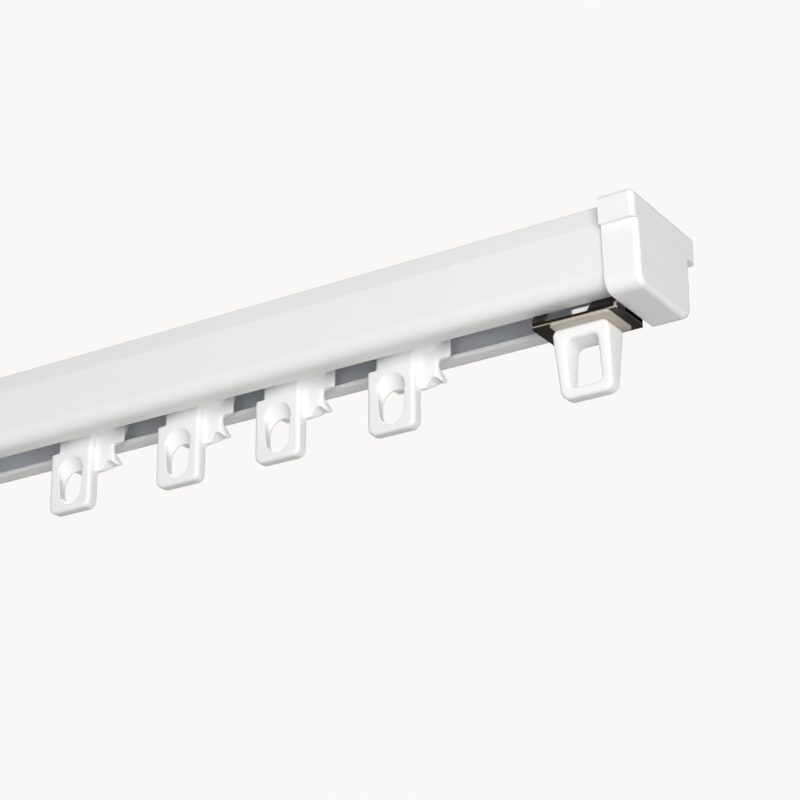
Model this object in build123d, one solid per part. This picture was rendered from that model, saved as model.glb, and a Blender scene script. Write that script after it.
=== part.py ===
# Curtain track: a short length of white C-section rail with moulded end caps,
# four wheeled runners and, beside each cap, a sprung steel stop that holds the last ring.
# Millimetres. X runs along the rail, +Z is up and -Y is the room side.
# The origin is the middle of the rail's top face, which faces the ceiling.
import os
from build123d import *

# Rail section
rail_length = 300.0
rail_width = 22.2
rail_height = 17.8
rail_wall = 1.2
rail_web = 1.3
lip_thickness = 1.0
slot_width = 9.4
rail_corner_radius = 3.5
band_height = 4.45
band_lean = 0.8
top_edge_radius = 0.4

# Fixing holes in the top web
fixing_spacing = 200.0
fixing_hole_radius = 2.25

# End cap
cap_length = 7.9
cap_end_wall = 2.4
cap_band_front_step = 1.1
cap_band_rear_step = 3.0
cap_band_height = 6.2
cap_band_draft = 0.15
cap_side_wall = 1.1
cap_body_draft = 0.6
cap_top_plate = 0.6
cap_lower_wall = 2.0
cap_corner_radius = 3.2
cap_band_corner_radius = 0.9
cap_edge_radius = 1.2
cap_fit = 0.08
cap_tongue_depth = 9.0
cap_tongue_wall = 1.6
cap_tongue_fit = 0.15
cap_tongue_width = 15.0
cap_tongue_height = 8.0

# Runner positions, measured from the cap's outer face at the right end
runner_offsets = [60.0, 89.5, 116.8, 147.8]

# Runner wheels and axles
wheel_radius = 5.0
wheel_width = 2.4
wheel_bore_clearance = 0.06
wheel_lip_clearance = 0.1
wheel_side_clearance = 0.25
wheel_hub_radius = 2.1
wheel_rim_thickness = 1.1
wheel_web_thickness = 1.1
wheel_edge_chamfer = 0.25
axle_radius = 1.0
axle_head_radius = 1.7
axle_head_thickness = 0.45

# Runner carriage, inside the rail
carriage_length = 14.0
carriage_width = 8.0
carriage_height = 9.4
carriage_corner_radius = 2.8
carriage_boss_radius = 1.9
carriage_boss_height = 0.5

# Runner neck, ring and rear skirt, below the rail
neck_thickness = 3.2
neck_front = -1.7
neck_length = 10.0
rib_length = 17.6
rib_front = 0.4
rib_thickness = 3.1
rib_tip_thickness = 0.7
rib_drop = 1.35
ring_shoulder_gap = 1.15
ring_width = 11.95
ring_height = 14.7
ring_side_taper = 0.3
ring_overhang = 2.15
ring_corner_radius = 1.7
ring_edge_radius = 0.8
ring_shoulder_radius = 0.5
ring_hole_top_radius = 3.4
ring_hole_foot_radius = 3.1
ring_hole_height = 11.35
ring_hole_foot_shift = -0.1
ring_hole_drop = 1.5
ring_hole_shift = 0.08
ring_hole_edge_radius = 1.0
skirt_length = 12.6
skirt_reach = 4.0
skirt_drop = 4.0
skirt_root_drop = 5.9
skirt_edge = 0.5
skirt_waist_swell = 0.4
skirt_wall = 0.9
skirt_root_thickness = 0.9
skirt_arch_centre = 3.8
skirt_arch_left = 1.8
skirt_arch_right = 2.9
skirt_arch_height = 2.1
skirt_arch_radius = 0.8
skirt_corner_radius = 0.5
neck_blend_radius = 1.2

# Stop beside each cap: sprung steel clip, ring and screw
stop_offset = 18.1
clip_length = 20.0
clip_width = 13.8
clip_drop = 3.2
clip_sheet = 0.5
clip_bend_radius = 0.45
clip_corner_radius = 1.6
clip_slot_clearance = 0.25
clip_lip_clearance = 0.1
clip_hook_length = 2.2
clip_notch_length = 10.2
clip_notch_shift = 1.7
clip_notch_depth = 3.5
clip_notch_floor = 1.1
clip_hole_clearance = 0.1
stop_ring_width = 13.0
stop_ring_taper = 0.6
stop_ring_height = 14.6
stop_ring_depth = 7.6
stop_ring_foot_depth = 3.4
stop_ring_leg = 2.8
stop_ring_top_bar = 3.0
stop_ring_foot_bar = 2.2
stop_ring_top_radius = 1.6
stop_ring_foot_radius = 2.0
stop_ring_hole_radius = 1.5
stop_ring_edge_radius = 0.7
stop_flange_length = 14.4
stop_flange_front = 6.2
stop_flange_rear = 4.6
stop_flange_height = 0.6
stop_flange_corner_radius = 1.4
stop_flange_chamfer = 0.35
stop_ring_embed = 0.25
stop_screw_radius = 1.5
stop_screw_head_radius = 2.8
stop_screw_head_height = 1.6
stop_screw_length = 2.6
stop_screw_recess_width = 0.7
stop_screw_recess_depth = 0.7

# How far a cut runs past the solid, and a piece into the one it is fused with
cut_past = 1.0
fuse_depth = 1.0

# How close an edge lies to the place where a fillet looks for it
find_within = 0.05

# Levels and lengths that follow from the sizes above
rail_half = rail_width / 2
slot_half = slot_width / 2
lip_bottom = -rail_height
lip_top = lip_bottom + lip_thickness
inner_half = rail_half - rail_wall
rail_end = rail_length / 2
cap_face = rail_end + cap_end_wall
cap_bottom = lip_bottom - cap_lower_wall
wheel_level = lip_top + wheel_lip_clearance + wheel_radius
carriage_bottom = wheel_level - carriage_height / 2
wheel_inner_face = carriage_width / 2 + carriage_boss_height + wheel_side_clearance
wheel_outer_face = wheel_inner_face + wheel_width
axle_half = wheel_outer_face + wheel_side_clearance + axle_head_thickness
ring_top = lip_bottom - ring_shoulder_gap
rib_half = rib_length / 2
ring_left = -rib_half - ring_overhang
ring_right = ring_left + ring_width
ring_middle = ring_left + ring_width / 2
ring_middle_level = ring_top - ring_height / 2
skirt_foot = ring_top - skirt_root_drop
clip_bottom = lip_bottom - clip_drop


def section_face(points):
    """Closed face from (y, z) points, drawn on the XY plane."""
    return make_face(Polyline(*points, close=True))


def round_corners(face, radius, wanted):
    """Round the corners whose position passes the test."""
    corners = [v for v in face.vertices() if wanted(v.X, v.Y)]
    return fillet(corners, radius)


def along_x(face, start, length):
    """Extrude a (y, z) face along +X from start."""
    return extrude(Plane.YZ.offset(start) * face, amount=length)


def along_y(face, start, length):
    """Extrude an (x, z) face along +Y from start."""
    return extrude(Plane((0, start, 0), x_dir=(1, 0, 0), z_dir=(0, -1, 0)) * face, amount=-length)


def rail_outline(growth):
    """Outside of the rail's section, grown by a clearance."""
    half = rail_half + growth
    top_half = half - band_lean
    top = growth
    bottom = lip_bottom - growth
    face = section_face([
        (-top_half, top), (top_half, top), (half, -band_height),
        (half, bottom), (-half, bottom), (-half, -band_height)])
    face = round_corners(face, rail_corner_radius + growth, lambda y, z: z < lip_top)
    return round_corners(face, top_edge_radius + growth, lambda y, z: z > -rail_web)


def rail_cavity():
    """Inside of the rail's section."""
    lean = band_lean * (band_height - rail_web) / band_height
    face = section_face([
        (-inner_half + lean, -rail_web), (inner_half - lean, -rail_web),
        (inner_half, -band_height), (inner_half, lip_top),
        (-inner_half, lip_top), (-inner_half, -band_height)])
    return round_corners(face, rail_corner_radius - rail_wall, lambda y, z: z < lip_top + rail_wall)


def rail():
    """Extruded C-section with its slot and two fixing holes."""
    slot = Pos(0, (lip_bottom + lip_top) / 2) * Rectangle(slot_width, 2 * lip_thickness)
    section = rail_outline(0) - rail_cavity() - slot
    body = along_x(section, -rail_end, rail_length)
    for x in (-fixing_spacing / 2, fixing_spacing / 2):
        body -= Pos(x, 0, -rail_web / 2) * Cylinder(fixing_hole_radius, 2 * rail_web)
    return body


def end_cap():
    """Moulded cap at the right end: a banded cup outside the rail and a tongue inside it."""
    start = cap_face - cap_length
    half_body = rail_half + cap_side_wall
    band_front = -half_body - cap_band_front_step
    band_rear = half_body + cap_band_rear_step
    step = cap_top_plate - cap_band_height
    band = section_face([
        (band_front, cap_top_plate), (band_rear, cap_top_plate),
        (band_rear - cap_band_draft, step), (band_front + cap_band_draft, step)])
    band = round_corners(band, cap_band_corner_radius, lambda y, z: z > 0)
    body = section_face([
        (-half_body, cap_top_plate - cap_edge_radius), (half_body, cap_top_plate - cap_edge_radius),
        (half_body - cap_body_draft, cap_bottom), (-half_body + cap_body_draft, cap_bottom)])
    body = round_corners(body, cap_corner_radius, lambda y, z: z < lip_bottom)
    shell = rounded_end(band, start, step) + rounded_end(body, start, cap_bottom - cut_past)
    pocket = along_x(rail_outline(cap_fit), start - cut_past, rail_end - start + cut_past + cap_fit)
    return shell - pocket + cap_tongue()


def rounded_end(face, start, floor):
    """Extrude to the cap's end face and round that face's edges above a level."""
    block = along_x(face, start, cap_length)
    edges = [e for e in block.faces().sort_by(Axis.X)[-1].edges() if e.center().Z > floor + find_within]
    return fillet(edges, cap_edge_radius)


def cap_tongue():
    """U-shaped tongue that centres the cap inside the rail."""
    half = cap_tongue_width / 2
    top = -rail_web - cap_tongue_fit
    outer = section_face([
        (-half, top), (half, top), (half, top - cap_tongue_height), (-half, top - cap_tongue_height)])
    outer = round_corners(outer, cap_edge_radius, lambda y, z: z > top - cap_tongue_wall)
    inner_half_width = half - cap_tongue_wall
    inner = section_face([
        (-inner_half_width, top - cap_tongue_wall), (inner_half_width, top - cap_tongue_wall),
        (inner_half_width, top - 2 * cap_tongue_height), (-inner_half_width, top - 2 * cap_tongue_height)])
    return along_x(outer - inner, rail_end - cap_tongue_depth, cap_tongue_depth + cap_end_wall / 2)


def wheel():
    """Wheel about the Y axis, its inner face at y = 0."""
    bore = axle_radius + wheel_bore_clearance
    rim_inner = wheel_radius - wheel_rim_thickness
    web_low = (wheel_width - wheel_web_thickness) / 2
    web_high = web_low + wheel_web_thickness
    edge = wheel_edge_chamfer
    profile = make_face(Polyline(
        (bore, 0), (wheel_hub_radius, 0), (wheel_hub_radius, web_low), (rim_inner, web_low),
        (rim_inner, 0), (wheel_radius - edge, 0), (wheel_radius, edge),
        (wheel_radius, wheel_width - edge), (wheel_radius - edge, wheel_width),
        (rim_inner, wheel_width), (rim_inner, web_high), (wheel_hub_radius, web_high),
        (wheel_hub_radius, wheel_width), (bore, wheel_width), close=True))
    return revolve(profile, Axis.Y)


def axle():
    """Steel axle along Y with a riveted head at each end."""
    shank = axle_half - axle_head_thickness
    profile = make_face(Polyline(
        (0, -axle_half), (axle_head_radius, -axle_half), (axle_head_radius, -shank),
        (axle_radius, -shank), (axle_radius, shank), (axle_head_radius, shank),
        (axle_head_radius, axle_half), (0, axle_half), close=True))
    return revolve(profile, Axis.Y)


def carriage():
    """Block between the wheels, with a boss round the axle on each side."""
    outline = Pos(0, wheel_level) * RectangleRounded(
        carriage_length, carriage_height, carriage_corner_radius)
    block = along_y(outline, -carriage_width / 2, carriage_width)
    reach = carriage_width / 2 + carriage_boss_height
    return block + along_y(Pos(0, wheel_level) * Circle(carriage_boss_radius), -reach, 2 * reach)


def rib():
    """Boat-shaped rib that passes through the slot, thin at both ends."""
    rear = rib_front + rib_thickness
    tip_rear = rib_front + rib_tip_thickness
    bottom = lip_bottom - rib_drop
    front = Line((-rib_half, rib_front), (rib_half, rib_front))
    right = Line(front @ 1, (rib_half, tip_rear))
    back = ThreePointArc(right @ 1, (0, rear), (-rib_half, tip_rear))
    left = Line(back @ 1, front @ 0)
    plan = make_face([front, right, back, left])
    return extrude(Pos(0, 0, bottom) * plan, amount=carriage_bottom + fuse_depth - bottom)


def ring_outline():
    """Front view of the neck and the ring."""
    neck_left = -rib_half
    neck_right = neck_left + neck_length
    neck_top = carriage_bottom + fuse_depth
    foot = ring_top - ring_height
    face = section_face([
        (neck_left, neck_top), (neck_right, neck_top), (ring_right, ring_top),
        (ring_right - ring_side_taper, foot), (ring_left + ring_side_taper, foot),
        (ring_left, ring_top), (neck_left, ring_top)])
    face = round_corners(face, ring_corner_radius, lambda x, z: z < foot + ring_edge_radius)
    return round_corners(
        face, ring_shoulder_radius,
        lambda x, z: x < neck_left - ring_shoulder_radius and z > ring_middle_level)


def ring_hole():
    """Egg-shaped hole through ring and skirt, wider at the top and leaning a little at the foot."""
    middle = ring_middle + ring_hole_shift
    top_centre = (middle, ring_top - ring_hole_drop - ring_hole_top_radius)
    foot_level = ring_top - ring_hole_drop - ring_hole_height + ring_hole_foot_radius
    foot_centre = (middle + ring_hole_foot_shift, foot_level)
    top_circle = Pos(*top_centre) * Circle(ring_hole_top_radius)
    foot_circle = Pos(*foot_centre) * Circle(ring_hole_foot_radius)
    outline = make_hull(top_circle.edges() + foot_circle.edges())
    return along_y(outline, neck_front - cut_past, skirt_reach + skirt_edge - neck_front + 2 * cut_past)


def near(value, level, within=find_within):
    """True where two coordinates are the same within a tolerance."""
    return abs(value - level) < within


def front_plate():
    """Neck and ring as one plate, its front edges and both rims of its hole rounded."""
    plate = along_y(ring_outline(), neck_front, neck_thickness)
    front = plate.faces().sort_by(Axis.Y)[0]
    plate = fillet([e for e in front.edges() if e.center().Z < ring_top - cut_past], ring_edge_radius)
    plate -= ring_hole()
    half_thickness = neck_thickness / 2
    reach = ring_width / 2 - ring_edge_radius
    rims = [e for e in plate.edges()
            if near(abs(e.center().Y - neck_front - half_thickness), half_thickness)
            and near(e.center().X, ring_middle, reach) and near(e.center().Z, ring_middle_level, reach)]
    return fillet(rims, ring_hole_edge_radius)


def skirt_plan(level, middle, tip):
    """Skirt seen from above at one level: flat front with rounded corners, bowed rear."""
    half = skirt_length / 2
    flat = half - skirt_corner_radius
    turn = rib_front + skirt_corner_radius
    front = Line((-flat, rib_front), (flat, rib_front))
    right_corner = RadiusArc(front @ 1, (half, turn), -skirt_corner_radius)
    right = Line(right_corner @ 1, (half, tip))
    back = ThreePointArc(right @ 1, (0, middle), (-half, tip))
    left = Line(back @ 1, (-half, turn))
    left_corner = RadiusArc(left @ 1, front @ 0, -skirt_corner_radius)
    return Pos(0, 0, level) * make_face([front, right_corner, right, back, left, left_corner])


def rear_skirt():
    """Skirt behind the ring, flared to the rear like a boat's bow."""
    rear = rib_front + rib_thickness
    tip = rib_front + rib_tip_thickness
    lowest = ring_top - skirt_drop
    root = rib_front + skirt_root_thickness
    return loft([
        skirt_plan(skirt_foot, root + skirt_edge / 2, root),
        skirt_plan(lowest - skirt_edge, skirt_reach, skirt_reach - skirt_edge),
        skirt_plan(lowest, skirt_reach + skirt_edge, skirt_reach),
        skirt_plan(ring_top - skirt_drop / 2, rear + skirt_waist_swell, tip + skirt_waist_swell),
        skirt_plan(lip_bottom - rib_drop / 2, rear, tip)], ruled=True)


def skirt_arch():
    """Pointed arch cut from the front and from below, short of the skirt's rear wall."""
    foot = skirt_foot
    left = skirt_arch_centre - skirt_arch_left
    right = skirt_arch_centre + skirt_arch_right
    arch = section_face([
        (left, foot - cut_past), (right, foot - cut_past), (right, foot),
        (skirt_arch_centre, foot + skirt_arch_height), (left, foot)])
    arch = round_corners(arch, skirt_arch_radius, lambda x, z: z > foot + skirt_arch_height / 2)
    return along_y(arch, rib_front - cut_past, cut_past + skirt_reach - skirt_wall - rib_front)


def blend_neck(body):
    """Hollow fillets where the skirt leaves the neck's right side, in front and underneath."""
    beside = [e for e in body.edges()
              if near(e.center().X, ring_right, ring_side_taper) and e.center().Z < carriage_bottom]
    front = [e for e in beside if near(e.center().Y, rib_front) and e.length > neck_blend_radius]
    under = [e for e in beside if near(e.center().Z, skirt_foot) and e.center().Y > rib_front + find_within]
    return fillet(front + under, neck_blend_radius)


def runner_body():
    """One moulding: carriage, rib, neck, ring and rear skirt, at x = 0."""
    body = blend_neck(carriage() + rib() + front_plate() + rear_skirt())
    bore = Pos(0, wheel_level) * Circle(axle_radius)
    return body - skirt_arch() - ring_hole() - along_y(bore, -carriage_width, 2 * carriage_width)


def stop_clip():
    """Sprung steel clip, folded from one sheet, at x = 0."""
    low = clip_bottom + clip_sheet / 2
    edge = clip_width / 2 - clip_sheet / 2
    throat = slot_half - clip_slot_clearance - clip_sheet / 2
    hook = lip_top + clip_lip_clearance + clip_sheet / 2
    path = FilletPolyline(
        (-throat - clip_hook_length, hook), (-throat, hook), (-throat, lip_bottom),
        (-edge, low), (edge, low),
        (throat, lip_bottom), (throat, hook), (throat + clip_hook_length, hook),
        radius=clip_bend_radius)
    sheet = along_x(trace(path, line_width=clip_sheet), -clip_length / 2, clip_length)
    plan = extrude(
        Pos(0, 0, clip_bottom - cut_past) * RectangleRounded(clip_length, clip_width, clip_corner_radius),
        amount=rail_height)
    sheet = sheet & plan
    notch_level = clip_bottom + clip_sheet + clip_notch_floor + rail_height / 2
    for side in (-1, 1):
        notch = Pos(side * clip_notch_shift, side * clip_width / 2, notch_level)
        sheet -= notch * Box(clip_notch_length, 2 * clip_notch_depth, rail_height)
    return sheet - Pos(0, 0, low) * Cylinder(stop_screw_radius + clip_hole_clearance, 2 * clip_sheet)


def stop_ring():
    """Ring under the clip: a flange that seats on the sheet, over a tapered ring."""
    bar_top = clip_bottom - stop_flange_height
    crown = bar_top + stop_ring_embed
    foot = bar_top - stop_ring_height
    half = stop_ring_width / 2
    foot_half = half - stop_ring_taper
    front = section_face([(-half, crown), (half, crown), (foot_half, foot), (-foot_half, foot)])
    front = round_corners(front, stop_ring_top_radius, lambda x, z: z > bar_top)
    front = round_corners(front, stop_ring_foot_radius, lambda x, z: z < foot + stop_ring_embed)
    depth = stop_ring_depth / 2
    foot_depth = stop_ring_foot_depth / 2
    side = section_face([(-depth, crown), (depth, crown), (foot_depth, foot), (-foot_depth, foot)])
    body = along_y(front, -stop_ring_depth, 2 * stop_ring_depth)
    body = body & along_x(side, -stop_ring_width, 2 * stop_ring_width)
    hole_top = bar_top - stop_ring_top_bar
    hole_foot = foot + stop_ring_foot_bar
    hole = Pos(0, (hole_top + hole_foot) / 2) * RectangleRounded(
        stop_ring_width - 2 * stop_ring_leg, hole_top - hole_foot, stop_ring_hole_radius)
    body -= along_y(hole, -stop_ring_depth, 2 * stop_ring_depth)
    faces = body.faces().sort_by(Axis.Y)
    body = fillet(faces[0].edges() + faces[-1].edges(), stop_ring_edge_radius)
    pilot = Pos(0, 0, clip_bottom - stop_screw_length / 2) * Cylinder(stop_screw_radius, stop_screw_length)
    return body + stop_flange(bar_top) - pilot


def stop_flange(level):
    """Flat flange of the stop ring, nearer the room than the wall."""
    middle = (stop_flange_rear - stop_flange_front) / 2
    plan = Pos(0, middle, level) * RectangleRounded(
        stop_flange_length, stop_flange_front + stop_flange_rear, stop_flange_corner_radius)
    plate = extrude(plan, amount=stop_flange_height)
    return chamfer(plate.faces().sort_by(Axis.Z)[0].edges(), stop_flange_chamfer)


def stop_screw():
    """Pan-head screw that holds the ring to the clip, with a cross recess."""
    seat = clip_bottom + clip_sheet
    head = Pos(0, 0, seat + stop_screw_head_height / 2) * Cylinder(
        stop_screw_head_radius, stop_screw_head_height)
    rim = head.faces().sort_by(Axis.Z)[-1].edges()
    head = fillet(rim, stop_screw_head_height / 2)
    shank_length = clip_sheet + stop_screw_length
    shank = Pos(0, 0, seat - shank_length / 2) * Cylinder(stop_screw_radius, shank_length)
    recess_level = seat + stop_screw_head_height
    screw = head + shank
    for turn in (0, 90):
        screw -= Pos(0, 0, recess_level) * Rot(0, 0, turn) * Box(
            2 * stop_screw_radius, stop_screw_recess_width, 2 * stop_screw_recess_depth)
    return screw


def save(shape, name):
    """Write one node."""
    export_step(shape, os.path.join("parts", name + ".step"))


def main():
    """Build every node in place."""
    os.makedirs("parts", exist_ok=True)
    save(rail(), "rail")
    turned = Rot(0, 0, 180)
    right_stop = Pos(cap_face - stop_offset, 0, 0)
    for side, turn in (("right", Pos(0, 0, 0)), ("left", turned)):
        save(turn * end_cap(), "end_cap_" + side)
        save(turn * right_stop * stop_clip(), "stop_clip_" + side)
        save(turn * right_stop * stop_ring(), "stop_ring_" + side)
        save(turn * right_stop * stop_screw(), "stop_screw_" + side)
    body = runner_body()
    pin = axle()
    disc = wheel()
    for number, offset in enumerate(runner_offsets, start=1):
        place = Pos(cap_face - offset, 0, 0)
        name = "runner_%d_" % number
        save(place * body, name + "body")
        centre = place * Pos(0, 0, wheel_level)
        save(centre * pin, name + "axle")
        save(centre * Pos(0, wheel_inner_face, 0) * disc, name + "wheel_rear")
        save(centre * Pos(0, -wheel_outer_face, 0) * disc, name + "wheel_front")


main()
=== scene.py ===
import math
import bmesh
import bpy
from mathutils import Matrix, Vector


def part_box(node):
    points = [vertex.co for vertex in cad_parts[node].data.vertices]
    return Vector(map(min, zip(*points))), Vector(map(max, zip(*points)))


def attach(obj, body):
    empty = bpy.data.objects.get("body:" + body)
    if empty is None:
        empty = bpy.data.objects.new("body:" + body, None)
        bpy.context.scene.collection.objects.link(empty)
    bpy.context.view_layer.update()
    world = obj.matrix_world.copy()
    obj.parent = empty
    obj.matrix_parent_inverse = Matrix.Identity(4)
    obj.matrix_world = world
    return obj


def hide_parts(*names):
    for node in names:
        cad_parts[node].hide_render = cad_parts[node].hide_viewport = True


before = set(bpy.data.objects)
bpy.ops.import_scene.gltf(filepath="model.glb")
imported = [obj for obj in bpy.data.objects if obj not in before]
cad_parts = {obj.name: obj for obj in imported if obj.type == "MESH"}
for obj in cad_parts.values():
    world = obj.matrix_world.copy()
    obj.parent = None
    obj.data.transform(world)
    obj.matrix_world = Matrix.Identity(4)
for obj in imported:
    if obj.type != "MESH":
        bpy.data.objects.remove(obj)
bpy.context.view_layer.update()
mm = 0.001
near = 0.1  # what is closer than this to a level, in millimetres, counts as on it
print("frame loaded:", len(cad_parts), "nodes")


# Small tools that every piece uses

def deselectAll():
    bpy.ops.object.select_all(action="DESELECT")


def takeOnly(piece):
    deselectAll()
    piece.select_set(True)
    bpy.context.view_layer.objects.active = piece


def applyPlace(piece):
    # the object ends at the origin, with its place in its mesh
    takeOnly(piece)
    bpy.ops.object.transform_apply(location=True, rotation=True, scale=True)


def addBlock(name, low, high):
    # a cube stretched between two corners, in millimetres
    low, high = Vector(low), Vector(high)
    deselectAll()
    bpy.ops.mesh.primitive_cube_add(size=1, location=(low + high) / 2 * mm)
    piece = bpy.context.active_object
    piece.name = name
    piece.scale = (high - low) * mm
    applyPlace(piece)
    return piece


def addRod(name, centre, radius, length, axis="Z", sides=48):
    # a cylinder along Y or Z, in millimetres
    turn = {"Y": (math.pi / 2, 0, 0), "Z": (0, 0, 0)}[axis]
    deselectAll()
    bpy.ops.mesh.primitive_cylinder_add(vertices=sides, radius=radius * mm, depth=length * mm,
                                        location=Vector(centre) * mm, rotation=turn)
    piece = bpy.context.active_object
    piece.name = name
    applyPlace(piece)
    return piece


def isAt(value, level):
    return abs(value - level) < near


def middle(edge):
    return (edge.verts[0].co + edge.verts[1].co) / 2 / mm


def runsAlong(edge, axis):
    span = edge.verts[1].co - edge.verts[0].co
    return abs(getattr(span.normalized(), axis)) > 0.9


def facesAlong(face, axis):
    return abs(getattr(face.normal, axis)) > 0.9


def selectParts(piece, kind, test):
    # in edit mode: only the faces, edges or vertices that pass the test stay selected
    modes = {"faces": "FACE", "edges": "EDGE", "verts": "VERT"}
    takeOnly(piece)
    bpy.ops.object.mode_set(mode="EDIT")
    bpy.ops.mesh.select_mode(type=modes[kind])
    bpy.ops.mesh.select_all(action="DESELECT")
    mesh = bmesh.from_edit_mesh(piece.data)
    for part in getattr(mesh, kind):
        part.select_set(bool(test(part)))
    mesh.select_flush_mode()
    bmesh.update_edit_mesh(piece.data)


def leaveEdit():
    bpy.ops.object.mode_set(mode="OBJECT")


def bevelEdges(piece, width, test, segments=5):
    selectParts(piece, "edges", test)
    bpy.ops.mesh.bevel(offset=width * mm, segments=segments, affect="EDGES")
    leaveEdit()


def bisectAt(piece, point, normal):
    selectParts(piece, "faces", lambda face: True)
    bpy.ops.mesh.bisect(plane_co=Vector(point) * mm, plane_no=normal)
    leaveEdit()


def sliceAlongX(piece, half, steps):
    # even cuts across a piece that is centred on x = 0
    for step in range(1, steps):
        bisectAt(piece, (-half + step * 2 * half / steps, 0, 0), (1, 0, 0))


def finishWith(piece, kind, **settings):
    # adds one modifier and applies it
    takeOnly(piece)
    modifier = piece.modifiers.new(kind.title(), kind)
    for key, value in settings.items():
        setattr(modifier, key, value)
    bpy.ops.object.modifier_apply(modifier=modifier.name)


def combine(piece, other, operation):
    # boolean with another piece, which is used up
    finishWith(piece, "BOOLEAN", object=other, operation=operation, solver="EXACT",
               material_mode="TRANSFER")
    bpy.data.objects.remove(other)


def joinAll(pieces):
    takeOnly(pieces[0])
    for piece in pieces:
        piece.select_set(True)
    bpy.ops.object.join()
    return pieces[0]


def smoothByAngle(piece, degrees):
    takeOnly(piece)
    bpy.ops.object.shade_smooth_by_angle(angle=math.radians(degrees))


def copyOf(piece, name, move=(0, 0, 0), halfTurn=False):
    # a copy with its own mesh, moved in millimetres or turned half round about Z
    twin = piece.copy()
    twin.data = piece.data.copy()
    twin.name = name
    bpy.context.scene.collection.objects.link(twin)
    twin.location = Vector(move) * mm
    twin.rotation_euler = (0, 0, math.pi if halfTurn else 0)
    applyPlace(twin)
    return twin


def dress(piece, *materials):
    piece.data.materials.clear()
    for material in materials:
        piece.data.materials.append(material)


# Materials: every pattern's size is in millimetres, and every roughness is a range

powder = {"drift": 40.0, "peel": 1.6, "grit": 0.35, "depth": 0.012, "bump": 0.25,
          "ior": 1.5, "specular": 0.35}
moulded = {"bump": 0.3, "glowDepth": 1.2, "glowReach": (1.0, 0.9, 0.8)}
rolled = {"smudge": 6.0, "drawnOut": 0.06, "depth": 0.01, "bump": 0.2}


def linear(hexColour):
    parts = [int(hexColour[i:i + 2], 16) / 255 for i in (1, 3, 5)]
    return tuple(c / 12.92 if c <= 0.04045 else ((c + 0.055) / 1.055) ** 2.4 for c in parts) + (1.0,)


def addNode(tree, kind, settings=None, links=None):
    # a setting is an input by its name or number, or else a property of the node
    node = tree.nodes.new(kind)
    for key, value in (settings or {}).items():
        if isinstance(key, int) or key in node.inputs:
            node.inputs[key].default_value = value
        else:
            setattr(node, key, value)
    for key, source in (links or {}).items():
        tree.links.new(source, node.inputs[key])
    return node


def newMaterial(name):
    material = bpy.data.materials.new(name)
    material.use_nodes = True
    material.node_tree.nodes.clear()
    return material, material.node_tree


def perMetre(sizeInMm):
    # noise scale that gives features of about this size
    return 1.0 / (sizeInMm * mm)


def finishSurface(tree, look, tone, height, gloss, settings):
    # every finish ends in two close tones, a fine relief and a gloss that varies a little
    colour = addNode(tree, "ShaderNodeMix", {
        "data_type": "RGBA", 6: linear(look["dark"]), 7: linear(look["light"])}, {0: tone})
    bump = addNode(tree, "ShaderNodeBump", {"Strength": look["bump"], "Distance": look["depth"] * mm},
                   {"Height": height})
    low, high = look["roughness"]
    sheen = addNode(tree, "ShaderNodeMapRange", {"To Min": low, "To Max": high}, {"Value": gloss})
    shader = addNode(tree, "ShaderNodeBsdfPrincipled", settings, {
        "Base Color": colour.outputs[2], "Roughness": sheen.outputs["Result"],
        "Normal": bump.outputs["Normal"]})
    addNode(tree, "ShaderNodeOutputMaterial", links={"Surface": shader.outputs["BSDF"]})


def makePowderCoat(name, look):
    # polyester powder coat on extruded aluminium: satin white with a shallow orange peel
    look = {**powder, **look}
    material, tree = newMaterial(name)
    place = addNode(tree, "ShaderNodeTexCoord")
    drift = addNode(tree, "ShaderNodeTexNoise", {"Scale": perMetre(look["drift"]), "Detail": 2.0},
                    {"Vector": place.outputs["Object"]})
    peel = addNode(tree, "ShaderNodeTexNoise", {"Scale": perMetre(look["peel"]), "Detail": 1.0},
                   {"Vector": place.outputs["Object"]})
    grit = addNode(tree, "ShaderNodeTexNoise", {"Scale": perMetre(look["grit"]), "Detail": 2.0},
                   {"Vector": place.outputs["Object"]})
    height = addNode(tree, "ShaderNodeMath", {"operation": "ADD"},
                     {0: peel.outputs["Fac"], 1: grit.outputs["Fac"]})
    finishSurface(tree, look, drift.outputs["Fac"], height.outputs[0], grit.outputs["Fac"],
                  {"IOR": look["ior"], "Specular IOR Level": look["specular"]})
    return material


def makeMouldedPlastic(name, look):
    # injection moulded plastic: fine spark-eroded grain from the mould and faint flow tones
    look = {**moulded, **look}
    material, tree = newMaterial(name)
    place = addNode(tree, "ShaderNodeTexCoord")
    flow = addNode(tree, "ShaderNodeTexNoise", {"Scale": perMetre(look["flow"]), "Detail": 2.0},
                   {"Vector": place.outputs["Object"]})
    grain = addNode(tree, "ShaderNodeTexNoise", {"Scale": perMetre(look["grain"]), "Detail": 3.0},
                    {"Vector": place.outputs["Object"]})
    finishSurface(tree, look, flow.outputs["Fac"], grain.outputs["Fac"], grain.outputs["Fac"], {
        "IOR": look["ior"], "Subsurface Weight": look["glow"], "Subsurface Radius": look["glowReach"],
        "Subsurface Scale": look["glowDepth"] * mm})
    return material


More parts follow.
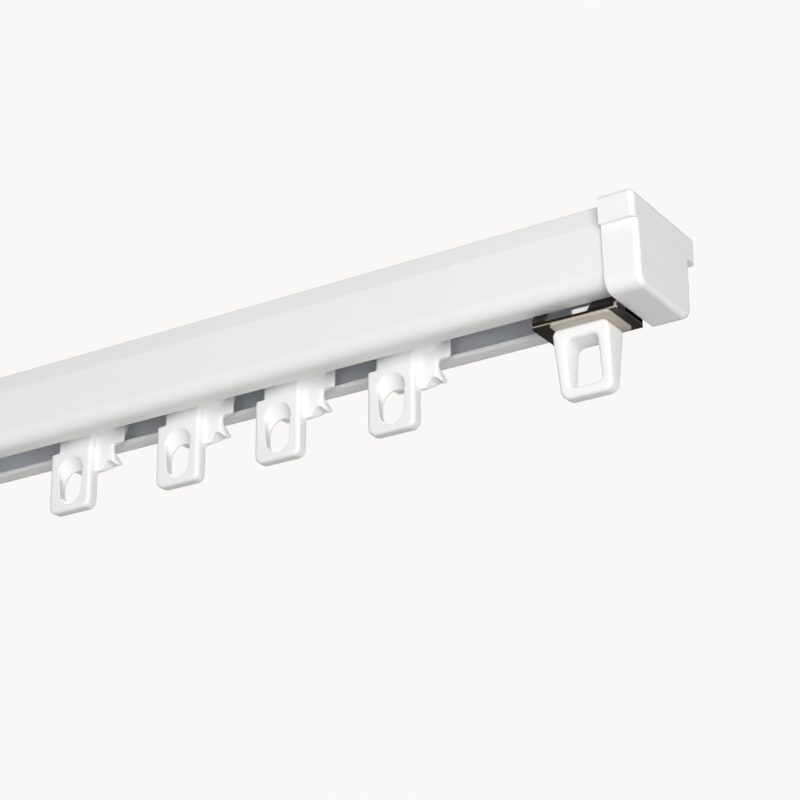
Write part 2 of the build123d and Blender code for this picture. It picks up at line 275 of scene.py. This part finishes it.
def makeSteel(name, look):
    # cold-rolled or drawn steel: fine lines along X from the rolls or the die
    look = {**rolled, **look}
    material, tree = newMaterial(name)
    place = addNode(tree, "ShaderNodeTexCoord")
    stretch = addNode(tree, "ShaderNodeMapping", {"Scale": (look["drawnOut"], 1.0, 1.0)},
                      {"Vector": place.outputs["Object"]})
    lines = addNode(tree, "ShaderNodeTexNoise", {"Scale": perMetre(look["lines"]), "Detail": 2.0},
                    {"Vector": stretch.outputs["Vector"]})
    smudge = addNode(tree, "ShaderNodeTexNoise", {"Scale": perMetre(look["smudge"]), "Detail": 3.0},
                     {"Vector": place.outputs["Object"]})
    finishSurface(tree, look, smudge.outputs["Fac"], lines.outputs["Fac"], smudge.outputs["Fac"],
                  {"Metallic": 1.0})
    return material


powderCoat = makePowderCoat("polyesterPowderCoat", {
    "dark": "#EEEEEE", "light": "#F4F4F4", "roughness": (0.54, 0.64)})
# inside the channel and in the drilled holes the coat is a little greyer and bluer than outside
innerCoat = makePowderCoat("innerPowderCoat", {
    "dark": "#E8EBF0", "light": "#EEF1F5", "roughness": (0.56, 0.66)})
# ABS caps and stop rings: satin, opaque
absPlastic = makeMouldedPlastic("mouldedAbs", {
    "dark": "#F5F5F4", "light": "#FAFAF9", "roughness": (0.5, 0.62), "ior": 1.53, "glow": 0.0,
    "flow": 14.0, "grain": 0.3, "depth": 0.012})
# acetal runners and wheels: a little waxy, so light creeps into thin edges
acetal = makeMouldedPlastic("mouldedAcetal", {
    "dark": "#EEEFEF", "light": "#F4F5F5", "roughness": (0.37, 0.49), "ior": 1.48, "glow": 0.05,
    "flow": 9.0, "grain": 0.25, "depth": 0.008})
# the pad between the stop's ring and its clip: white plastic painted beige-grey as the shade it lies in,
# plain and dull
padPaintedShade = makeMouldedPlastic("mouldedPadPaintedShade", {
    "dark": "#B9B0A7", "light": "#C4BCB3", "roughness": (0.45, 0.57), "ior": 1.53, "glow": 0.0,
    "flow": 9.0, "grain": 0.25, "depth": 0.008})
# spring strip: painted nearly black, a painted reflection of dark surroundings and painted shade on the
# polished steel
paintedDarkSteel = makeSteel("springSteelPaintedDark", {
    "dark": "#2B2825", "light": "#3B3733", "roughness": (0.24, 0.4), "lines": 0.3})
# the same strip where the press cut it, and a painted highlight: light cream, bare cut metal with painted
# highlight on the cut ends, painted highlight along the lower folds
cutEdgeAndHighlight = makeSteel("cutSteelAndPaintedHighlight", {
    "dark": "#CFC5B6", "light": "#EFE6D8", "roughness": (0.28, 0.44), "lines": 0.15})
# screws: bright zinc plate
zincPlate = makeSteel("zincPlatedSteel", {
    "dark": "#A9ABAC", "light": "#C9CBCB", "roughness": (0.24, 0.4), "lines": 0.4})
# axles: drawn wire, riveted at the ends
drawnWire = makeSteel("drawnSteelWire", {
    "dark": "#9FA0A0", "light": "#BFC0C0", "roughness": (0.27, 0.43), "lines": 0.2})
print("materials made")


# Rail: one C-section with a leaning band along its top edges

rail = {"lean": 0.8, "bandHeight": 4.45, "cornerRadius": 3.5, "topRadius": 0.4, "sheet": 1.0,
        "slotWidth": 9.4, "lipBottom": -17.8, "lipRadius": 0.15,
        "holeSpacing": 200.0, "holeRadius": 2.25, "drillLength": 6.0}


def buildRail():
    low, high = (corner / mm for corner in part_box("rail"))
    slotHalf = rail["slotWidth"] / 2
    piece = addBlock("railExtrusion", low, high)
    selectParts(piece, "faces", lambda face: facesAlong(face, "x"))
    bpy.ops.mesh.delete(type="FACE")
    leaveEdit()
    bisectAt(piece, (0, 0, high.z - rail["bandHeight"]), (0, 0, 1))
    selectParts(piece, "verts", lambda vert: isAt(vert.co.z / mm, high.z))
    bpy.ops.transform.resize(value=(1, (high.y - rail["lean"]) / high.y, 1))
    leaveEdit()
    bevelEdges(piece, rail["cornerRadius"],
               lambda edge: runsAlong(edge, "x") and isAt(middle(edge).z, low.z), segments=12)
    bevelEdges(piece, rail["topRadius"],
               lambda edge: runsAlong(edge, "x") and isAt(middle(edge).z, high.z), segments=12)
    for side in (-1, 1):
        bisectAt(piece, (0, side * slotHalf, 0), (0, 1, 0))
    selectParts(piece, "faces", lambda face: isAt(face.calc_center_median().z / mm, low.z)
                and abs(face.calc_center_median().y / mm) < slotHalf)
    bpy.ops.mesh.delete(type="FACE")
    leaveEdit()
    # the bisects also split the top face, which needs no lines there
    selectParts(piece, "edges", lambda edge: runsAlong(edge, "x") and isAt(middle(edge).z, high.z)
                and abs(middle(edge).y) < slotHalf + near)
    bpy.ops.mesh.dissolve_edges()
    leaveEdit()
    dress(piece, powderCoat, innerCoat)
    finishWith(piece, "SOLIDIFY", thickness=rail["sheet"] * mm, offset=-1, use_even_offset=True,
               material_offset=1)
    for side in (-1, 1):
        place = (side * rail["holeSpacing"] / 2, 0, high.z)
        drill = addRod("drill", place, rail["holeRadius"], rail["drillLength"])
        dress(drill, innerCoat)
        combine(piece, drill, "DIFFERENCE")
    finishWith(piece, "BEVEL", width=rail["lipRadius"] * mm, segments=2, limit_method="ANGLE",
               angle_limit=math.radians(60))
    # the band leans by ten degrees, and its lower edge stays a crisp line
    smoothByAngle(piece, degrees=9)
    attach(piece, "track")
    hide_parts("rail")


buildRail()
print("rail made")


# Runner body: carriage, rib, neck, ring and skirt fused as one moulding

runner = {"wheelLevel": -11.7,
          "carriage": (14.0, 8.0, 9.4), "carriageRadius": 2.8, "bossRadius": 1.9, "bossReach": 4.5,
          "boreRadius": 1.02, "boreLength": 12.0,
          "ribLength": 17.6, "ribFront": 0.4, "ribThickness": 3.1, "ribTip": 0.7, "ribDrop": 1.1,
          "ribRise": 3.0, "ribRound": 0.8, "ribSteps": 10,
          "neckFront": -1.7, "neckThickness": 3.2, "neckLength": 10.0,
          "ringLeft": -10.95, "ringWidth": 11.95, "ringTop": -18.95, "ringHeight": 14.7, "ringCorner": 1.9,
          "frontRound": 0.9, "rearRound": 0.6,
          "skirtCorner": 1.5, "skirtSteps": 8,
          "archX": 4.2, "archLeft": 2.3, "archRight": 4.4, "archApex": -22.35, "archTopShare": 0.2,
          "archRound": 0.45, "archTilt": 0.9, "archBefore": 3.0, "archPast": 1.0,
          "blend": 1.5, "footBlend": 0.6, "hollowLength": 40.0,
          # how far blocks reach into one another before they are fused
          "bite": 0.3, "sideBite": 0.4, "overlap": 1.0,
          "voxel": 0.17, "softening": 0.5, "smoothing": 6}
runner["ribFoot"] = rail["lipBottom"] - runner["ribDrop"]
runner["neckBack"] = runner["neckFront"] + runner["neckThickness"]
runner["carriageFoot"] = runner["wheelLevel"] - runner["carriage"][2] / 2
# the skirt at each level: where its rear stands in the middle and at the ends, and half its length
skirtLevels = {-18.4: (3.5, 1.5, 6.3), -19.4: (3.5, 1.5, 5.6), -20.7: (3.6, 1.7, 5.6), -21.8: (3.9, 2.9, 5.9),
               -22.95: (4.3, 4.0, 6.2), -23.35: (4.1, 3.7, 6.0), -24.85: (1.5, 1.3, 5.8)}
skirtTop, skirtRoot = max(skirtLevels), min(skirtLevels)
# the ring's hole at two depths: x, level and radius of its top and foot circles
ringHole = {"front": {"y": -1.85, "top": (-4.75, -23.6, 3.45), "foot": (-4.65, -29.15, 2.95)},
            "rear": {"y": 1.0, "top": (-5.1, -26.8, 3.5), "foot": (-5.2, -28.5, 3.4)},
            "past": 8.0, "overlap": 0.03, "disc": 0.02, "sides": 64}


def holeCutter(depths):
    # hull of the hole's circles at each depth, so its ceiling slopes down towards the rear
    discs = [addRod("disc", (x, y, level), radius, ringHole["disc"], "Y", ringHole["sides"])
             for y, circles in depths for x, level, radius in circles]
    cutter = joinAll(discs)
    selectParts(cutter, "verts", lambda vert: True)
    bpy.ops.mesh.convex_hull()
    leaveEdit()
    return cutter


def cutRingHole(piece):
    front, rear = ringHole["front"], ringHole["rear"]
    frontCircles, rearCircles = (front["top"], front["foot"]), (rear["top"], rear["foot"])
    sloping = holeCutter([(front["y"], frontCircles), (rear["y"], rearCircles)])
    combine(piece, sloping, "DIFFERENCE")
    straight = holeCutter([(rear["y"] - ringHole["overlap"], rearCircles), (ringHole["past"], rearCircles)])
    combine(piece, straight, "DIFFERENCE")


def buildRingPlate():
    left, front, back = runner["ringLeft"], runner["neckFront"], runner["neckBack"]
    top = runner["ringTop"]
    foot = top - runner["ringHeight"]
    plate = addBlock("ringPlate", (left, front, foot), (left + runner["ringWidth"], back, top))
    bevelEdges(plate, runner["ringCorner"],
               lambda edge: runsAlong(edge, "y") and isAt(middle(edge).z, foot), segments=8)
    for face, width in ((front, runner["frontRound"]), (back, runner["rearRound"])):
        bevelEdges(plate, width, lambda edge: not runsAlong(edge, "y") and isAt(middle(edge).y, face)
                   and not isAt(middle(edge).z, top))
    cutRingHole(plate)
    return plate


def buildNeck():
    # the neck joins the ring to the carriage, flush with the rib's left end
    left, front = -runner["ribLength"] / 2, runner["neckFront"]
    foot, top = runner["ringTop"] - runner["bite"], runner["carriageFoot"] + runner["overlap"]
    neck = addBlock("neck", (left, front, foot), (left + runner["neckLength"], runner["neckBack"], top))
    bevelEdges(neck, runner["frontRound"], lambda edge: runsAlong(edge, "z") and isAt(middle(edge).y, front))
    return neck


def buildBlends():
    # hollow fillets where the skirt leaves the neck, in front and underneath
    front, side = runner["ribFront"], runner["ringLeft"] + runner["ringWidth"]
    radius = runner["blend"]
    upright = addBlock("blend", (side - runner["sideBite"], front - radius, skirtRoot),
                       (side + radius, front + runner["bite"], rail["lipBottom"] + runner["overlap"]))
    hollow = addRod("hollow", (side + radius, front - radius, skirtRoot), radius, runner["hollowLength"])
    combine(upright, hollow, "DIFFERENCE")
    radius = runner["footBlend"]
    under = addBlock("blend", (side - runner["sideBite"], front, skirtRoot - radius),
                     (side + radius, front + runner["overlap"], skirtRoot + runner["bite"]))
    hollow = addRod("hollow", (side + radius, front, skirtRoot - radius), radius, runner["hollowLength"], "Y")
    combine(under, hollow, "DIFFERENCE")
    return [upright, under]


def buildRib():
    # boat shaped in plan, thin at both ends
    half, foot, top = runner["ribLength"] / 2, runner["ribFoot"], runner["carriageFoot"] + runner["ribRise"]
    front, thickness = runner["ribFront"], runner["ribThickness"]
    piece = addBlock("rib", (-half, front, foot), (half, front + thickness, top))
    bevelEdges(piece, runner["ribRound"], lambda edge: runsAlong(edge, "y") and isAt(middle(edge).z, foot))
    sliceAlongX(piece, half, runner["ribSteps"])
    for vert in piece.data.vertices:
        if vert.co.y / mm > front + thickness / 2:
            share = (vert.co.x / mm / half) ** 2
            vert.co.y = (front + thickness - share * (thickness - runner["ribTip"])) * mm
    return piece


def buildCarriage():
    length, width, height = runner["carriage"]
    level, foot = runner["wheelLevel"], runner["carriageFoot"]
    piece = addBlock("carriage", (-length / 2, -width / 2, foot), (length / 2, width / 2, foot + height))
    bevelEdges(piece, runner["carriageRadius"], lambda edge: runsAlong(edge, "y"), segments=8)
    boss = addRod("boss", (0, 0, level), runner["bossRadius"], 2 * runner["bossReach"], "Y")
    return joinAll([piece, boss])


def buildSkirt():
    # from the rib down to a foot that flares towards the wall and towards its ends
    front, thickness = runner["ribFront"], runner["ribThickness"]
    half = max(reach for _, _, reach in skirtLevels.values())
    piece = addBlock("skirt", (-half, front, skirtRoot), (half, front + thickness, skirtTop))
    bevelEdges(piece, runner["skirtCorner"],
               lambda edge: runsAlong(edge, "z") and isAt(middle(edge).y, front))
    for level in skirtLevels:
        bisectAt(piece, (0, 0, level), (0, 0, 1))
    sliceAlongX(piece, half, runner["skirtSteps"])
    for vert in piece.data.vertices:
        centre, end, reach = skirtLevels[min(skirtLevels, key=lambda level: abs(level - vert.co.z / mm))]
        rear = centre + (end - centre) * (vert.co.x / mm / half) ** 2
        vert.co.y = (front + (vert.co.y / mm - front) * (rear - front) / thickness) * mm
        vert.co.x *= reach / half
    cutRingHole(piece)
    combine(piece, archCutter(), "DIFFERENCE")
    return piece


def archCutter():
    # pointed arch, open below and right through, with a ceiling that slopes down towards the rear
    x, apex = runner["archX"], runner["archApex"]
    foot, front = skirtRoot - runner["archPast"], runner["ribFront"] - runner["archBefore"]
    rear = max(centre for centre, _, _ in skirtLevels.values()) + runner["archPast"]
    arch = addBlock("arch", (x - runner["archLeft"], front, foot), (x + runner["archRight"], rear, apex))
    selectParts(arch, "verts", lambda vert: isAt(vert.co.z / mm, apex))
    bpy.ops.transform.resize(value=(runner["archTopShare"], 1, 1), center_override=(x * mm, 0, 0))
    leaveEdit()
    bevelEdges(arch, runner["archRound"],
               lambda edge: runsAlong(edge, "y") and isAt(middle(edge).z, apex), segments=4)
    selectParts(arch, "verts", lambda vert: isAt(vert.co.y / mm, rear))
    bpy.ops.transform.translate(value=(0, 0, -runner["archTilt"] * mm))
    leaveEdit()
    return arch


def buildRunnerBody():
    blends = buildBlends()
    for blend in blends:
        combine(blend, archCutter(), "DIFFERENCE")
    piece = joinAll([buildRingPlate(), buildNeck(), buildRib(), buildCarriage(), buildSkirt()] + blends)
    piece.name = "runnerMoulding"
    # one skin over all the joined blocks, softened as a moulding is
    finishWith(piece, "REMESH", mode="VOXEL", voxel_size=runner["voxel"] * mm)
    finishWith(piece, "SMOOTH", factor=runner["softening"], iterations=runner["smoothing"])
    bore = addRod("bore", (0, 0, runner["wheelLevel"]), runner["boreRadius"], runner["boreLength"],
                  "Y", sides=32)
    combine(piece, bore, "DIFFERENCE")
    smoothByAngle(piece, degrees=40)
    dress(piece, acetal)
    return piece


firstRunner = buildRunnerBody()
for number in (1, 2, 3, 4):
    axleLow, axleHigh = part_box("runner_%d_axle" % number)
    moulding = copyOf(firstRunner, "runnerMoulding%d" % number, ((axleLow.x + axleHigh.x) / 2 / mm, 0, 0))
    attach(moulding, "runner_%d" % number)
    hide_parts("runner_%d_body" % number)
bpy.data.objects.remove(firstRunner)
print("runner mouldings made")


# Stop ring: a tapered ring under a pad painted beige-grey for its shade, and the block that its screw bites
# into

stopRing = {"x": 134.3, "halfWidth": 6.5, "footHalfWidth": 5.9, "halfDepth": 3.8, "footHalfDepth": 1.7,
            "height": 14.6, "topRadius": 1.6, "footRadius": 2.0, "leg": 2.8, "topBar": 2.3, "footBar": 2.2,
            "holeRadius": 1.5, "holeReach": 9.0, "edgeRadius": 0.75, "sunkInPad": 0.25,
            "padTop": -21.0, "padHeight": 0.6, "padLeft": 5.7, "padRight": 8.1, "padFront": 6.5,
            "padRear": 4.6, "padCorner": 1.2, "padEdge": 0.08, "pilotRadius": 1.5, "pilotDepth": 2.6,
            "blockLeft": -1.4, "blockRight": 5.6, "blockHalfWidth": 4.3, "blockLevels": (-20.45, -18.1),
            "blockEdge": 0.3}


def buildRing():
    x, padFoot = stopRing["x"], stopRing["padTop"] - stopRing["padHeight"]
    foot, top = padFoot - stopRing["height"], padFoot + stopRing["sunkInPad"]
    half, depth = stopRing["halfWidth"], stopRing["halfDepth"]
    piece = addBlock("stopRingRight", (x - half, -depth, foot), (x + half, depth, top))
    selectParts(piece, "verts", lambda vert: isAt(vert.co.z / mm, foot))
    bpy.ops.transform.resize(value=(stopRing["footHalfWidth"] / half, stopRing["footHalfDepth"] / depth, 1),
                             center_override=(x * mm, 0, 0))
    leaveEdit()
    bevelEdges(piece, stopRing["topRadius"],
               lambda edge: runsAlong(edge, "y") and isAt(middle(edge).z, top), segments=8)
    bevelEdges(piece, stopRing["footRadius"],
               lambda edge: runsAlong(edge, "y") and isAt(middle(edge).z, foot), segments=8)
    holeHalf, reach = half - stopRing["leg"], stopRing["holeReach"]
    hole = addBlock("hole", (x - holeHalf, -reach, foot + stopRing["footBar"]),
                    (x + holeHalf, reach, padFoot - stopRing["topBar"]))
    bevelEdges(hole, stopRing["holeRadius"], lambda edge: runsAlong(edge, "y"), segments=8)
    combine(piece, hole, "DIFFERENCE")
    finishWith(piece, "BEVEL", width=stopRing["edgeRadius"] * mm, segments=5, limit_method="ANGLE",
               angle_limit=math.radians(50))
    dress(piece, absPlastic)
    return piece


def buildPad():
    x, top = stopRing["x"], stopRing["padTop"]
    pad = addBlock("pad", (x - stopRing["padLeft"], -stopRing["padFront"], top - stopRing["padHeight"]),
                   (x + stopRing["padRight"], stopRing["padRear"], top))
    bevelEdges(pad, stopRing["padCorner"], lambda edge: runsAlong(edge, "z"), segments=6)
    bevelEdges(pad, stopRing["padEdge"], lambda edge: not runsAlong(edge, "z"), segments=2)
    # the pad's beige-grey is painted shade
    dress(pad, padPaintedShade)
    return pad


def buildScrewBlock():
    # it stands above the clip's floor and is seen through the notch
    x, half = stopRing["x"], stopRing["blockHalfWidth"]
    low, high = stopRing["blockLevels"]
    block = addBlock("block", (x + stopRing["blockLeft"], -half, low),
                     (x + stopRing["blockRight"], half, high))
    bevelEdges(block, stopRing["blockEdge"], lambda edge: True, segments=3)
    dress(block, absPlastic)
    return block


def buildStopRing():
    piece = buildRing()
    combine(piece, buildPad(), "UNION")
    depth = stopRing["pilotDepth"]
    pilot = addRod("pilot", (stopRing["x"], 0, stopRing["padTop"] - depth / 2),
                   stopRing["pilotRadius"], depth)
    dress(pilot, absPlastic)
    combine(piece, pilot, "DIFFERENCE")
    piece = joinAll([piece, buildScrewBlock()])
    smoothByAngle(piece, degrees=40)
    return piece


# Spring clip: one strip folded through the slot and hooked over both lips

clip = {"x": stopRing["x"], "length": 20.0, "sheet": 0.5, "halfWidth": 6.65, "low": -20.75, "throat": 4.2,
        "lipBottom": rail["lipBottom"], "hookLevel": -16.45, "hookLength": 2.2,
        # a fold of the same radius takes more of the sheet where the angle is sharper
        "foldTrims": {"low": 0.96, "lipBottom": 0.17, "hookLevel": 0.45},
        "cornerRadius": 2.2, "cornerTrim": 0.02, "planPastSide": 0.3, "planPastLevel": 2.0,
        "notchLength": 10.2, "notchShift": 1.7, "notchFloor": 0.15, "notchDepth": 3.5, "notchHeight": 12.0,
        "holeRadius": 1.6, "holeLength": 2.0,
        "floorHeight": 0.4, "highlightLineWidth": 0.6, "highlightLineSlope": (-0.99, -0.71)}


def foldStrip():
    x = clip["x"]
    deselectAll()
    bpy.ops.mesh.primitive_plane_add(size=1, location=(x * mm, 0, clip["low"] * mm))
    piece = bpy.context.active_object
    piece.name = "springClipRight"
    piece.scale = (clip["length"] * mm, 2 * clip["halfWidth"] * mm, 1)
    applyPlace(piece)
    for side in (-1, 1):
        # each fold carries the strip on: in to the throat, up through the slot, out over the lip
        steps = [(side * (clip["throat"] - clip["halfWidth"]), clip["lipBottom"] - clip["low"]),
                 (0, clip["hookLevel"] - clip["lipBottom"]), (side * clip["hookLength"], 0)]
        edgeY, edgeZ = side * clip["halfWidth"], clip["low"]
        for moveY, moveZ in steps:
            selectParts(piece, "edges", lambda edge: runsAlong(edge, "x") and isAt(middle(edge).y, edgeY)
                        and isAt(middle(edge).z, edgeZ))
            bpy.ops.mesh.extrude_region_move(TRANSFORM_OT_translate={"value": (0, moveY * mm, moveZ * mm)})
            leaveEdit()
            edgeY, edgeZ = edgeY + moveY, edgeZ + moveZ
    for level, trim in clip["foldTrims"].items():
        bevelEdges(piece, trim, lambda edge: runsAlong(edge, "x") and len(edge.link_faces) == 2
                   and isAt(middle(edge).z, clip[level]))
    finishWith(piece, "SOLIDIFY", thickness=clip["sheet"] * mm, offset=0, use_even_offset=True,
               material_offset_rim=1)
    # the near-black steel is painted reflection and shade; the second slot is painted highlight with bare cut
    # metal
    dress(piece, paintedDarkSteel, cutEdgeAndHighlight)
    for polygon in piece.data.polygons:
        polygon.material_index = 0
    return piece


def cutNotches(piece):
    floor = clip["low"] + clip["sheet"] / 2 + clip["notchFloor"]
    half, depth = clip["notchLength"] / 2, clip["notchDepth"]
    for side in (-1, 1):
        notchX, edge = clip["x"] + side * clip["notchShift"], side * clip["halfWidth"]
        notch = addBlock("notch", (notchX - half, edge - depth, floor),
                         (notchX + half, edge + depth, floor + clip["notchHeight"]))
        dress(notch, cutEdgeAndHighlight)
        combine(piece, notch, "DIFFERENCE")


def roundPlan(piece):
    # keeps what lies inside a plan with rounded corners
    x, half = clip["x"], clip["length"] / 2 - clip["cornerTrim"]
    width, past = clip["halfWidth"] + clip["planPastSide"], clip["planPastLevel"]
    plan = addBlock("plan", (x - half, -width, clip["low"] - past),
                    (x + half, width, clip["hookLevel"] + past))
    bevelEdges(plan, clip["cornerRadius"], lambda edge: runsAlong(edge, "z"), segments=8)
    dress(plan, cutEdgeAndHighlight)
    combine(piece, plan, "INTERSECT")


def paintHighlightsAndCutEnds(piece):
    # painted highlight with bare cut metal on the legs' cut ends, and a painted highlight line along the
    # lower folds
    steepest, shallowest = clip["highlightLineSlope"]
    for polygon in piece.data.polygons:
        onHighlightLine = steepest < polygon.normal.z < shallowest and abs(polygon.normal.x) < 0.1 \
            and abs(polygon.center.y / mm) > clip["halfWidth"] - clip["highlightLineWidth"]
        if polygon.center.z / mm < clip["low"] + clip["floorHeight"]:
            polygon.material_index = 1 if onHighlightLine else 0
        elif facesAlong(polygon, "x"):
            polygon.material_index = 1


def buildClip():
    piece = foldStrip()
    cutNotches(piece)
    roundPlan(piece)
    screwHole = addRod("screwHole", (clip["x"], 0, clip["low"]), clip["holeRadius"], clip["holeLength"])
    combine(piece, screwHole, "DIFFERENCE")
    paintHighlightsAndCutEnds(piece)
    smoothByAngle(piece, degrees=40)
    return piece


rightRing, rightClip = buildStopRing(), buildClip()
leftRing = copyOf(rightRing, "stopRingLeft", halfTurn=True)
leftClip = copyOf(rightClip, "springClipLeft", halfTurn=True)
for side, ring, strip in (("right", rightRing, rightClip), ("left", leftRing, leftClip)):
    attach(ring, "track")
    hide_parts("stop_ring_" + side)
    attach(strip, "track")
    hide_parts("stop_clip_" + side)
print("end stops made")


# CAD nodes that keep their own shape

for name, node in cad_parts.items():
    if "wheel" in name:
        dress(node, acetal)
    elif "axle" in name:
        dress(node, drawnWire)
    elif "screw" in name:
        dress(node, zincPlate)
    elif "cap" in name:
        dress(node, absPlastic)
print("carried nodes dressed")


# Camera, light and stage

camera = {"focalPixels": 2371.78, "imagePixels": 800, "sensorWidth": 36, "nearest": 0.01,
          "azimuth": 32.1404, "elevation": -22.5974, "roll": -0.6173,
          "aim": (152.4, -13.1, 0.2), "right": -46.3625, "up": -42.2687, "distance": 473.4455}
# each light: where it stands, how wide it is, and the share of full light that it gives the object
lights = {"key": {"place": (1.04, -1.27, -0.26), "size": 1.2, "share": 0.92},
          "rear": {"place": (-0.9, 1.3, 0.9), "size": 1.0, "share": 0.6},
          "side": {"place": (1.5, -0.3, -0.1), "size": 0.8, "share": 0.06},
          "fill": {"place": (-0.9, -1.3, 0.1), "size": 1.0, "share": 0.06}}
fullLight = math.pi ** 2  # watts at one metre that show a white surface facing the light as white
stage = {"target": (0.06, 0.0, -0.01), "floorLevel": -1.1, "floorSize": 6.0, "floor": "#D8D7D5",
         "floorSeen": "#F4F3F1", "seenShare": 0.8, "background": "#FAF8F6", "ambient": 0.22}


def placeCamera():
    azimuth, elevation, roll = (math.radians(camera[key]) for key in ("azimuth", "elevation", "roll"))
    back = Vector((math.sin(azimuth) * math.cos(elevation), -math.cos(azimuth) * math.cos(elevation),
                   math.sin(elevation)))
    level = Vector((math.cos(azimuth), math.sin(azimuth), 0))
    upright = back.cross(level)
    right = math.cos(roll) * level + math.sin(roll) * upright
    up = -math.sin(roll) * level + math.cos(roll) * upright
    place = Vector(camera["aim"]) + right * camera["right"] + up * camera["up"] + back * camera["distance"]
    deselectAll()
    bpy.ops.object.camera_add()
    viewer = bpy.context.active_object
    viewer.matrix_world = Matrix.Translation(place * mm) @ Matrix((right, up, back)).transposed().to_4x4()
    viewer.data.sensor_width = camera["sensorWidth"]
    viewer.data.lens = camera["focalPixels"] * camera["sensorWidth"] / camera["imagePixels"]
    viewer.data.clip_start = camera["nearest"]
    bpy.context.scene.camera = viewer


def addLights():
    for name, light in lights.items():
        reach = Vector(stage["target"]) - Vector(light["place"])
        deselectAll()
        bpy.ops.object.light_add(type="AREA", location=light["place"])
        lamp = bpy.context.active_object
        lamp.name = name + "Light"
        lamp.data.size = light["size"]
        lamp.rotation_euler = reach.to_track_quat("-Z", "Y").to_euler()
        lamp.data.energy = light["share"] * fullLight * reach.length_squared


def addStage():
    deselectAll()
    bpy.ops.mesh.primitive_plane_add(size=stage["floorSize"], location=(0, 0, stage["floorLevel"]))
    floor = bpy.context.active_object
    floor.name = "studioFloor"
    applyPlace(floor)
    # painted board: matt, with no pattern of its own
    material, tree = newMaterial("paintedBoard")
    shader = addNode(tree, "ShaderNodeBsdfPrincipled",
                     {"Base Color": linear(stage["floor"]), "Roughness": 0.8})
    # the camera sees most of the floor as plainly pale, and the rest keeps its shadow
    seen = addNode(tree, "ShaderNodeEmission", {"Color": linear(stage["floorSeen"]), "Strength": 1.0})
    rays = addNode(tree, "ShaderNodeLightPath")
    share = addNode(tree, "ShaderNodeMath", {"operation": "MULTIPLY", 1: stage["seenShare"]},
                    {0: rays.outputs["Is Camera Ray"]})
    mix = addNode(tree, "ShaderNodeMixShader",
                  links={0: share.outputs[0], 1: shader.outputs["BSDF"], 2: seen.outputs[0]})
    addNode(tree, "ShaderNodeOutputMaterial", links={"Surface": mix.outputs[0]})
    dress(floor, material)


def lightWorld():
    world = bpy.data.worlds.new("studioWorld")
    bpy.context.scene.world = world
    world.use_nodes = True
    tree = world.node_tree
    tree.nodes.clear()
    rays = addNode(tree, "ShaderNodeLightPath")
    seen = addNode(tree, "ShaderNodeMath", {"operation": "MAXIMUM"},
                   {0: rays.outputs["Is Camera Ray"], 1: rays.outputs["Is Transmission Ray"]})
    room = addNode(tree, "ShaderNodeBackground", {"Color": linear("#FFFFFF"), "Strength": stage["ambient"]})
    view = addNode(tree, "ShaderNodeBackground", {"Color": linear(stage["background"]), "Strength": 1.0})
    mix = addNode(tree, "ShaderNodeMixShader",
                  links={0: seen.outputs[0], 1: room.outputs[0], 2: view.outputs[0]})
    addNode(tree, "ShaderNodeOutputWorld", links={"Surface": mix.outputs[0]})


placeCamera()
addLights()
addStage()
lightWorld()
bpy.context.scene.view_settings.view_transform = "Standard"
print("camera, lights and stage set")
